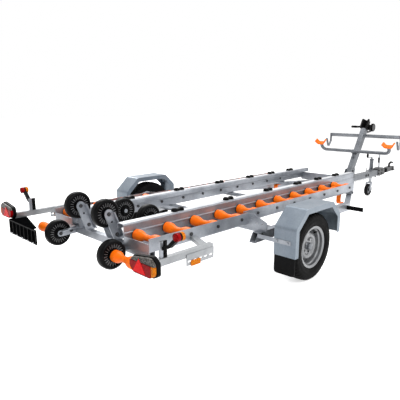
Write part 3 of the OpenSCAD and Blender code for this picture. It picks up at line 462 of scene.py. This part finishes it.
# Rear support wheels
def add_support_wheel(name):
    """A black wheel with a crowned tread, a hub and fine ribs on both faces."""
    low, high = corners(name)
    outer = (high.z - low.z) / 2
    half = (high.y - low.y) / 2
    bore, boss, ledge, tread_in = 0.0102, 0.030, 0.036, outer - 0.030
    flank = [
        (bore, half), (boss, half), (boss + 0.002, half - 0.002),
        (ledge, half - 0.016), (ledge + 0.002, half - 0.016),
        (tread_in - 0.004, half - 0.016), (tread_in, half - 0.014), (tread_in + 0.004, half - 0.002),
        (tread_in + 0.008, half), (outer - 0.016, half - 0.0005), (outer - 0.010, half - 0.003),
        (outer - 0.005, half - 0.008), (outer - 0.0015, half - 0.015), (outer, half - 0.024),
    ]
    profile = mirrored(flank)
    centre = (low + high) / 2
    mesh = bmesh.new()
    add_lathe(mesh, centre, (0, 1, 0), profile, 96)
    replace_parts(add_piece(f"tread_{name}", mesh, name, "black_rubber"), name)

    ribs, thick, rib_in = 22, 0.0036, 0.052
    rib = [
        (rib_in, half - 0.017), (tread_in + 0.001, half - 0.017), (tread_in + 0.001, half - 0.004),
        (rib_in, half - 0.006),
    ]
    mesh = bmesh.new()
    for i in range(ribs):
        turn = Matrix.Rotation(2 * math.pi * i / ribs, 4, "Y")
        for sign in SIDES.values():
            def put(u, v, w):
                return centre + turn @ Vector((u, sign * v, w))

            add_prism(mesh, rib, -thick / 2, thick / 2, put)
    # The ribs take the lighter grey rib finish: painted highlight along each rib.
    add_piece(f"ribs_{name}", mesh, name, "black_rubber", "rib")


# Slide pads, roller ends and rocker fittings
PAD_PLACES = (-2.276, -1.636, -1.012, -0.453, -0.008, 0.422)
PAD_L, PAD_W = 0.118, 0.056


def add_slide_pads():
    """Rubber pads with two lobes and a waist."""
    low, high = corners("slide_pads")
    tall = high.z - low.z
    centre_y = high.y - PAD_W / 2
    stations = (
        (-1.0, 0.42, 0.30), (-0.94, 0.72, 0.66), (-0.8, 0.94, 0.92), (-0.6, 1.0, 1.0), (-0.4, 0.92, 0.94),
        (-0.2, 0.70, 0.74), (0.0, 0.62, 0.66),
    )
    stations += tuple((-t, wide, rise) for t, wide, rise in reversed(stations[:-1]))
    # Arch of each cross-section; a fullness below 1 squares it
    steps, fullness = 12, 0.6
    arch = [(math.cos(math.pi * i / steps), math.sin(math.pi * i / steps)) for i in range(steps + 1)]
    mesh = bmesh.new()
    for x in PAD_PLACES:
        for side in SIDES.values():
            rings = []
            for t, wide, rise in stations:
                ring = []
                for c, s in arch:
                    across = math.copysign(abs(c) ** fullness, c) * wide * PAD_W / 2
                    up = s ** fullness * rise * tall
                    ring.append(Vector((x + t * PAD_L / 2, side * (centre_y + across), low.z + up)))
                rings.append(ring)
            add_loft(mesh, rings)
    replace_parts(add_piece("pads", mesh, ROOT, "black_rubber"), "slide_pads")


ROLLER_FIRST_X, ROLLER_PITCH, ROLLER_COUNT = -2.744, 0.300, 11
CHANNEL_STEP_X = -1.750
ROLLER_Z = 0.516
ROLLER_OUT_REAR, ROLLER_OUT_FRONT = 0.659, 0.603


def add_roller_ends():
    """Black rings between the keel rollers' ends and the channel's walls."""
    washer = [
        (0.0125, 0.0005), (0.0400, 0.0005), (0.0405, 0.0020),
        (0.0400, 0.0060), (0.0180, 0.0100), (0.0125, 0.0100),
    ]
    inner = corners("keel_rollers_left")[0].y
    for side, sign in SIDES.items():
        mesh = bmesh.new()
        for i in range(ROLLER_COUNT):
            x = ROLLER_FIRST_X + ROLLER_PITCH * i
            outer = ROLLER_OUT_REAR if x < CHANNEL_STEP_X else ROLLER_OUT_FRONT
            for y, way in ((inner, -1), (outer, 1)):
                add_lathe(mesh, Vector((x, sign * y, ROLLER_Z)), (0, sign * way, 0), washer, 32)
        add_piece(f"roller_ends_{side}", mesh, ROOT, "black_rubber")


ROCKER_HIGH = Vector((-2.888, 0.0, 0.674))
ROCKER_FOOT = Vector((-2.805, 0.0, 0.458))
ROCKER_LOW = Vector((-2.977, 0.0, 0.419))
LOW_ARM_BOLT = Vector((-2.880, 0.0, 0.428))
ARM_OUT_Y, ARM_IN_Y, LOW_ARM_Y = 0.2535, 0.1485, 0.3455


def add_rocker_bolts():
    """Nuts on the rockers' axles and bolts along their arms."""
    places = []
    for y, way in ((ARM_OUT_Y, 1), (ARM_IN_Y, -1)):
        for share in (0.0, 0.78):
            spot = ROCKER_HIGH.lerp(ROCKER_FOOT, share)
            places.append(((spot.x, y, spot.z), (0, way, 0)))
    for spot in (ROCKER_LOW, LOW_ARM_BOLT):
        places.append(((spot.x, LOW_ARM_Y, spot.z), (0, -1, 0)))
    add_bolts("rocker_bolts", both(places), 0.013)


def add_flaps():
    """Mudflaps with round corners and a raised border."""
    low, high = corners("mudflaps")
    wide, raise_low, border = 0.197, 0.016, 0.010
    inner_y = high.y - wide
    tall = high.z - low.z
    outline = softened([(0, raise_low), (wide, raise_low), (wide, tall), (0, tall)], 0.030)
    middle_u, middle_v = wide / 2, (raise_low + tall) / 2
    share_u = 1 - 2 * border / wide
    share_v = 1 - 2 * border / (tall - raise_low)
    inside = [(middle_u + (u - middle_u) * share_u, middle_v + (v - middle_v) * share_v) for u, v in outline]
    rear, front = low.x + 0.0012, high.x
    for side, sign in SIDES.items():
        def put(u, v, w):
            return Vector((w, sign * (inner_y + u), low.z + v))

        mesh = bmesh.new()
        add_prism(mesh, outline, rear, front, put)
        rings = []
        for (u0, v0), (u1, v1) in zip(outline, inside):
            rings.append([put(u0, v0, rear), put(u1, v1, rear), put(u1, v1, low.x), put(u0, v0, low.x)])
        add_rings(mesh, rings)
        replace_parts(add_piece(f"flap_{side}", mesh, ROOT, "black_rubber"), "mudflaps")


def add_marker_brackets():
    """Zinc straps on the rear edge of the marker lamps' plates, and the bolts through them."""
    low = corners("marker_lamps")[0]
    plate_x, plate_y, foot_z = low.x + 0.002, 0.935, 0.520
    wide, tall, half, proud = 0.022, 0.110, 0.006, 0.002
    strap_end = plate_x + wide
    strap = [
        (plate_x - proud, half + proud), (strap_end, half + proud), (strap_end, half), (plate_x, half),
        (plate_x, -half), (strap_end, -half), (strap_end, -half - proud), (plate_x - proud, -half - proud),
    ]
    for side, sign in SIDES.items():
        mesh = bmesh.new()
        add_prism(mesh, strap, foot_z, foot_z + tall, lambda u, v, w: Vector((u, sign * (plate_y + v), w)))
        add_piece(f"marker_strap_{side}", mesh, ROOT, "zinc", bevel=0.0006)
    bolt_x = plate_x + 0.038
    bolts = [
        ((bolt_x, plate_y + way * half, foot_z + rise), (0, way, 0))
        for way in (1, -1) for rise in (0.022, 0.090)
    ]
    add_bolts("marker_bolts", both(bolts), 0.008, "cast")


def add_spine_plugs():
    """Black plugs in the holes on both sides of the spine."""
    low, high = corners("spine_tube")
    plug = [(0.0005, 0.0005), (0.021, 0.0005), (0.021, 0.003), (0.018, 0.005), (0.0005, 0.0055)]
    plug_places = (2.02, 2.10)
    for side, sign in SIDES.items():
        mesh = bmesh.new()
        for x in plug_places:
            add_lathe(mesh, Vector((x, sign * high.y, (low.z + high.z) / 2)), (0, sign, 0), plug, 40)
        add_piece(f"spine_plugs_{side}", mesh, ROOT, "black_rubber")


# Lamps
LAMP_W, LAMP_H, LAMP_D = 0.240, 0.132, 0.055


def lamp_outline(inset):
    """The lamp's outline, taller on its outer side, as (outward, up)."""
    slope, cut = 0.026, 0.034
    u0, v0, u1, v1 = inset, inset, LAMP_W - inset, LAMP_H - inset
    return softened([
        (u0 + cut, v0), (u1 - cut, v0), (u1, v0 + cut * 0.6), (u1, v1 - cut), (u1 - cut * 1.2, v1),
        (u0 + cut * 0.6, v1 - slope), (u0, v1 - slope - cut * 0.6), (u0, v0 + cut)], 0.012)


def add_tail_lamp(side):
    """Housing, three lenses, triangle reflector and mounting tab of a tail lamp."""
    low, high = corners("tail_lamps")
    sign = SIDES[side]
    inner_y = high.y - LAMP_W

    def put(u, v, w):
        return Vector((high.x - w, sign * (inner_y + u), low.z + v))

    housing_d, red_d = 0.030, 0.053
    mesh = bmesh.new()
    add_prism(mesh, lamp_outline(0.0), 0.0, housing_d, put)
    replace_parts(add_piece(f"lamp_housing_{side}", mesh, ROOT, "black_plastic", bevel=0.003), "tail_lamps")

    face = lamp_outline(0.006)
    gap = 0.0012
    band_v, amber_u = 0.080, 0.206
    lower = clipped(face, 0, 1, band_v - gap)
    lenses = {
        "smoke": (clipped(face, 0, -1, -band_v), 0.050, "smoke"),
        "red": (clipped(lower, 1, 0, amber_u - gap), red_d, "lamp"),
        "amber": (clipped(lower, -1, 0, -amber_u), 0.052, "amber"),
    }
    for name, (outline, depth, finish) in lenses.items():
        mesh = bmesh.new()
        add_prism(mesh, outline, housing_d, depth, put)
        add_piece(f"lens_{name}_{side}", mesh, ROOT, "lamp", finish, bevel=0.004)

    tab = softened([(0.120, -0.014), (0.176, -0.014), (0.176, 0.006), (0.120, 0.006)], 0.004)
    mesh = bmesh.new()
    add_prism(mesh, tab, -0.003, 0.0, put)
    add_piece(f"lamp_tab_{side}", mesh, ROOT, "zinc", bevel=0.0006)

    triangle = softened([(0.036, 0.014), (0.160, 0.014), (0.098, 0.106)], 0.006)
    mesh = bmesh.new()
    add_prism(mesh, triangle, red_d, LAMP_D, put)
    add_piece(f"triangle_{side}", mesh, ROOT, "lamp", "reflector", bevel=0.0008)


def add_marker_lenses():
    """Red lens to the rear and amber one to the front of each marker lamp's round head."""
    low, high = corners("marker_lamps")
    radius = 0.027
    centre_y, centre_z = high.y - radius, high.z - radius
    dome = [
        (0.0005, -0.004), (0.023, -0.004), (0.023, 0.0), (0.021, 0.0045),
        (0.015, 0.008), (0.007, 0.0098), (0.0005, 0.0102),
    ]
    sleeve = [(0.0262, 0.002), (0.0276, 0.001), (0.0280, -0.003), (0.0280, -0.022), (0.0262, -0.022)]
    for side, sign in SIDES.items():
        for name, x, way, finish in (("rear", low.x, -1, "lamp"), ("front", high.x, 1, "amber")):
            mesh = bmesh.new()
            for profile in (dome, sleeve):
                add_lathe(mesh, Vector((x, sign * centre_y, centre_z)), (way, 0, 0), profile, 40)
            add_piece(f"marker_{name}_{side}", mesh, ROOT, "lamp", finish)


def add_side_reflectors():
    """Amber reflectors on the slotted plates of the lamp carriers."""
    low, high = corners("lamp_carriers")
    size_u, size_v, thick = 0.090, 0.040, 0.007
    start_x, start_z = high.x - 0.330, low.z - 0.008
    outline = softened([(0, 0), (size_u, 0), (size_u, size_v), (0, size_v)], 0.008)
    for side, sign in SIDES.items():
        mesh = bmesh.new()
        add_prism(mesh, outline, 0.0, thick, lambda u, v, w: Vector((
            start_x + u, sign * (high.y + w), start_z + v)))
        add_piece(f"side_reflector_{side}", mesh, ROOT, "lamp", "amber", bevel=0.002)


def add_plate_relief():
    """Raised rim, upright ribs and light clips on the number plate holder."""
    low, high = corners("plate_holder")
    wide, tall, proud = high.y - low.y, 0.125, 0.003
    top = high.z - 0.004

    def put(u, v, w):
        return Vector((low.x - w, low.y + u, top - tall + v))

    mesh = bmesh.new()
    rim = 0.010
    bars = [
        (0, 0, wide, rim), (0, tall - rim, wide, tall),
        (0, rim, rim, tall - rim), (wide - rim, rim, wide, tall - rim),
    ]
    fields, rib_half = 7, 0.004
    for i in range(1, fields):
        u = wide * i / fields
        bars.append((u - rib_half, rim, u + rib_half, tall - rim))
    for u0, v0, u1, v1 in bars:
        add_prism(mesh, [(u0, v0), (u1, v0), (u1, v1), (u0, v1)], 0.0, proud, put)
    add_piece("plate_relief", mesh, ROOT, "black_plastic", bevel=0.001)

    mesh = bmesh.new()
    clips = 5
    for i in range(clips):
        u = wide * (i + 0.5) / clips
        clip = softened([
            (u - 0.014, -0.003), (u + 0.014, -0.003), (u + 0.012, 0.013), (u - 0.012, 0.013)], 0.004)
        add_prism(mesh, clip, proud, proud + 0.003, put)
    add_piece("plate_clips", mesh, ROOT, "bright_steel", bevel=0.0008)


# Fasteners and fittings
def add_fasteners():
    """Bolts of the guard stays, the winch post's foot and the coupling's housing."""
    stays_low, stays_high = corners("guard_stays")
    guard_low = corners("mudguard_left")[0]
    plate_t = 0.005
    level = (stays_low.z + stays_high.z) / 2
    stays = []
    for y in (guard_low.y + 0.030, guard_low.y + 0.130):
        stays.append(((stays_low.x, y, level), (-1, 0, 0)))
        stays.append(((stays_high.x, y, level), (1, 0, 0)))
    add_bolts("guard_bolts", both(stays), 0.011, "zinc")

    tube_high = corners("side_tube_left")[1]
    ends = (stays_low.x + 0.055, stays_high.x - 0.055)
    side = [((x, tube_high.y + plate_t, level), (0, 1, 0)) for x in ends]
    add_bolts("side_bolts", both(side), 0.011)

    spine_high = corners("spine_tube")[1]
    post_x = corners("winch_post")[0].x + 0.100
    foot = [
        ((post_x + dx, spine_high.y + plate_t, spine_high.z + dz), (0, 1, 0))
        for dx, dz in ((-0.055, -0.012), (0.065, -0.012), (0.045, 0.080))
    ]
    add_bolts("post_bolts", both(foot), 0.013)

    head_low = corners("coupling_head")[0]
    housing_y = 0.048
    housing = [((head_low.x + dx, housing_y, z), (0, 1, 0)) for dx in (0.035, 0.150) for z in (0.385, 0.438)]
    add_bolts("coupling_bolts", both(housing), 0.012)


def add_wall_beads():
    """The rolled bead along the middle of each channel's inner wall, on both of its faces."""
    low, high = corners("roller_channel_left")
    wall_in, wall_out = 0.376, 0.380
    proud, half_tall = 0.006, 0.010
    level = high.z - 0.074
    bead = [
        (-half_tall, 0.0), (-half_tall * 0.5, 0.85), (0.0, 1.0), (half_tall * 0.5, 0.85), (half_tall, 0.0),
    ]
    for side, sign in SIDES.items():
        mesh = bmesh.new()
        for face, way in ((wall_in, -1), (wall_out, 1)):
            outline = [(face + way * proud * rise, level + up) for up, rise in bead]
            add_prism(mesh, outline, low.x + 0.002, high.x - 0.002, lambda u, v, w: Vector((w, sign * u, v)))
        add_piece(f"wall_bead_{side}", mesh, ROOT, "zinc")


def add_flange_highlights():
    """Painted highlight: a bright zinc sheet on the top of each channel's inner flange, on which a hull
    slides, where light from above falls.
    """
    low, high = corners("roller_channel_left")
    edge_y, wall_y, end_gap, thick = low.y + 0.008, 0.370, 0.004, 0.0006
    outline = softened([(low.x + end_gap, edge_y), (high.x - end_gap, edge_y),
                        (high.x - end_gap, wall_y), (low.x + end_gap, wall_y)], 0.004)
    for side, sign in SIDES.items():
        mesh = bmesh.new()
        add_prism(mesh, outline, high.z - 0.0005, high.z + thick, lambda u, v, w: Vector((u, sign * v, w)))
        add_piece(f"flange_highlight_{side}", mesh, ROOT, "zinc", "bright_zinc")


def add_grips():
    """Moulded grips on the winch crank and the jockey crank."""
    grip = [
        (0.002, 0.0), (0.0135, 0.0), (0.0155, 0.006), (0.0145, 0.014), (0.0165, 0.03), (0.0172, 0.055),
        (0.0160, 0.082), (0.0168, 0.100), (0.0130, 0.112), (0.002, 0.1135),
    ]
    low, high = corners("winch_crank")
    mesh = bmesh.new()
    add_lathe(mesh, Vector((low.x + 0.0135, high.y - 0.112, low.z + 0.0135)), (0, 1, 0), grip, 32)
    add_piece("crank_grip", mesh, ROOT, "black_plastic")

    tube_low, tube_high = corners("jockey_tube")
    mesh = bmesh.new()
    place = Vector((tube_low.x + 0.013, middle_of("jockey_leg").y + 0.030, tube_high.z - 0.070))
    add_lathe(mesh, place, (0, 0, 1), [(radius, along * 0.63) for radius, along in grip], 32)
    add_piece("jockey_grip", mesh, ROOT, "black_plastic")


def add_handbrake():
    """The handbrake lever as a bent loop of rod with a black grip on its rear leg."""
    low, high = corners("handbrake_lever")
    rod, sides = 0.0075, 12
    u0, u1 = low.x + rod, high.x - rod
    v0, v1 = low.z - 0.004, high.z - rod
    foot_u, neck_v = u0 + 0.016, v1 - 0.05
    path = softened([
        (foot_u, v0), (u1, v0), (u1, neck_v), (u1 - 0.012, v1), (u0 + 0.004, v1), (u0, neck_v)], 0.020)

    def ring_at(i, radius):
        before, after = Vector(path[i - 1]), Vector(path[(i + 1) % len(path)])
        along = (after - before).normalized()
        out = Vector((along.y, 0.0, -along.x))
        centre = Vector((path[i][0], 0.0, path[i][1]))
        return [centre + out * c + Vector((0.0, s, 0.0)) for c, s in ring_points(radius, sides)]

    mesh = bmesh.new()
    add_rings(mesh, [ring_at(i, rod) for i in range(len(path))])
    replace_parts(add_piece("brake_loop", mesh, ROOT, "zinc", "bright_steel"), "handbrake_lever")
    grip = [
        (0.0070, 0.0), (0.0125, 0.0), (0.0140, 0.006), (0.0130, 0.03), (0.0140, 0.07),
        (0.0125, 0.082), (0.0070, 0.084),
    ]
    mesh = bmesh.new()
    start = Vector((u0 + 0.0085, 0.0, v0 + 0.085))
    rear_leg = Vector((u0, 0.0, neck_v)) - Vector((foot_u, 0.0, v0))
    add_lathe(mesh, start, rear_leg, grip, 24)
    add_piece("brake_grip", mesh, ROOT, "black_plastic")


def add_jockey_hub():
    """Grey hub disc with ribs on both sides of the jockey wheel."""
    centre = middle_of("jockey_wheel")
    disc = [
        (0.0095, -0.0195), (0.058, -0.0195), (0.061, -0.0175),
        (0.061, 0.0175), (0.058, 0.0195), (0.0095, 0.0195),
    ]
    spokes, steps = 12, 8

    def shape(i, k, radius, along):
        if k in (1, 4) and i % steps < 2:
            return radius, along * 1.12
        return radius, along

    mesh = bmesh.new()
    add_lathe(mesh, centre, (0, 1, 0), disc, spokes * steps, shape)
    add_piece("jockey_hub", mesh, "jockey_wheel", "bright_steel", "dark_zinc")


def add_winch_strap():
    """Webbing wound on the winch drum, and the toothed gear beside it."""
    low, high = corners("winch")
    drum = Vector((high.x - 0.058, 0.0, high.z - 0.060))
    roll = [
        (0.0303, -0.040), (0.0425, -0.040), (0.0430, -0.038),
        (0.0430, 0.038), (0.0425, 0.040), (0.0303, 0.040),
    ]
    mesh = bmesh.new()
    add_lathe(mesh, drum, (0, 1, 0), roll, 64)
    add_piece("winch_strap", mesh, ROOT, "black_rubber")

    teeth, root_r, tip_r = 26, 0.0545, 0.0600
    tooth = ((0.0, root_r), (0.28, root_r), (0.4, tip_r), (0.72, tip_r), (0.84, root_r))
    gear = []
    for i in range(teeth):
        for share, radius in tooth:
            turn = 2 * math.pi * (i + share) / teeth
            gear.append((radius * math.cos(turn), radius * math.sin(turn)))
    mesh = bmesh.new()
    add_prism(mesh, gear, low.y + 0.004, low.y + 0.026, lambda u, v, w: drum + Vector((u, w, v)))
    add_piece("winch_gear", mesh, ROOT, "cast", bevel=0.0006)


# Stage: glow that lifts the lit floor to white, and the world's light off the background
FLOOR_GLOW = 0.62
AMBIENT = 0.42


def background_rays(tree):
    """1 for rays that show the background: from the camera, off gloss and through glass."""
    paths = tree.nodes.new("ShaderNodeLightPath")
    total = paths.outputs["Is Camera Ray"]
    for ray in ("Is Glossy Ray", "Is Transmission Ray"):
        most = tree.nodes.new("ShaderNodeMath")
        most.operation = "MAXIMUM"
        tree.links.new(total, most.inputs[0])
        tree.links.new(paths.outputs[ray], most.inputs[1])
        total = most.outputs[0]
    return total


def light_floor():
    """A pale floor that shows white to the camera and keeps the soft shadow."""
    finish = Finish("floor", roughness=0.9)
    finish.colour(finish.ramp(finish.noise(0.6), [(0.0, (0.90, 0.90, 0.90)), (1.0, (0.93, 0.93, 0.93))]))
    finish.set("Emission Color", (1.0, 1.0, 1.0, 1.0))
    share = finish.tree.nodes.new("ShaderNodeMath")
    share.operation = "MULTIPLY"
    share.inputs[1].default_value = FLOOR_GLOW
    finish.join(background_rays(finish.tree), share.inputs[0])
    finish.join(share.outputs[0], finish.shader.inputs["Emission Strength"])
    return finish.material


def add_stage():
    """The floor and the world."""
    mesh = bpy.data.meshes.new("floor")
    reach = 60.0
    points = [(-reach, -reach, 0), (reach, -reach, 0), (reach, reach, 0), (-reach, reach, 0)]
    mesh.from_pydata(points, [], [(0, 1, 2, 3)])
    floor = bpy.data.objects.new("floor", mesh)
    floor.data.materials.append(light_floor())
    bpy.context.scene.collection.objects.link(floor)

    world = bpy.data.worlds.new("studio")
    world.use_nodes = True
    tree = world.node_tree
    sky = tree.nodes["Background"]
    sky.inputs["Color"].default_value = (1.0, 1.0, 1.0, 1.0)
    level = tree.nodes.new("ShaderNodeMapRange")
    level.inputs["To Min"].default_value = AMBIENT
    level.inputs["To Max"].default_value = 1.0
    tree.links.new(background_rays(tree), level.inputs["Value"])
    tree.links.new(level.outputs["Result"], sky.inputs["Strength"])
    bpy.context.scene.world = world


def add_area_light(name, place, target, size, power):
    lamp = bpy.data.lights.new(name, "AREA")
    lamp.shape = "DISK"
    lamp.size = size
    lamp.energy = power
    holder = bpy.data.objects.new(name, lamp)
    holder.location = place
    holder.rotation_euler = (Vector(target) - Vector(place)).to_track_quat("-Z", "Y").to_euler()
    bpy.context.scene.collection.objects.link(holder)


def add_lights():
    """Large soft lamps on three sides and above."""
    middle = (-0.3, 0.0, 0.5)
    add_area_light("key", (-5.0, -5.5, 6.5), middle, 4.0, 400.0)
    add_area_light("top", (0.5, 0.5, 7.5), middle, 5.0, 300.0)
    add_area_light("fill", (4.5, -6.5, 4.0), middle, 5.0, 170.0)
    add_area_light("back", (1.0, 7.0, 6.0), middle, 5.0, 380.0)


def add_camera():
    """The camera at the photograph's place, with its focal length."""
    lens_data = bpy.data.cameras.new("photo_camera")
    lens_data.sensor_fit = "HORIZONTAL"
    lens_data.sensor_width = SENSOR_MM
    lens_data.lens = FOCAL_PX / PHOTO_SIDE_PX * SENSOR_MM
    camera = bpy.data.objects.new("photo_camera", lens_data)
    forward = Vector((
        math.cos(CAMERA_PITCH) * math.cos(CAMERA_YAW),
        math.cos(CAMERA_PITCH) * math.sin(CAMERA_YAW),
        -math.sin(CAMERA_PITCH),
    ))
    camera.location = CAMERA_PLACE
    camera.rotation_euler = forward.to_track_quat("-Z", "Y").to_euler()
    bpy.context.scene.collection.objects.link(camera)
    bpy.context.scene.camera = camera
    bpy.context.scene.view_settings.view_transform = "Standard"


add_camera()
add_stage()
add_lights()
paint_cad_nodes()
for wheel_side in SIDES:
    add_tyre(wheel_side)
    add_wheel_trim(wheel_side)
    add_tail_lamp(wheel_side)
for row in ("low", "high", "front"):
    for wheel_side in SIDES:
        add_support_wheel(f"support_{row}_{wheel_side}")
add_marker_lenses()
add_side_reflectors()
add_plate_relief()
add_fasteners()
add_wall_beads()
add_flange_highlights()
add_slide_pads()
add_roller_ends()
add_rocker_bolts()
add_flaps()
add_marker_brackets()
add_spine_plugs()
add_grips()
add_handbrake()
add_jockey_hub()
add_winch_strap()
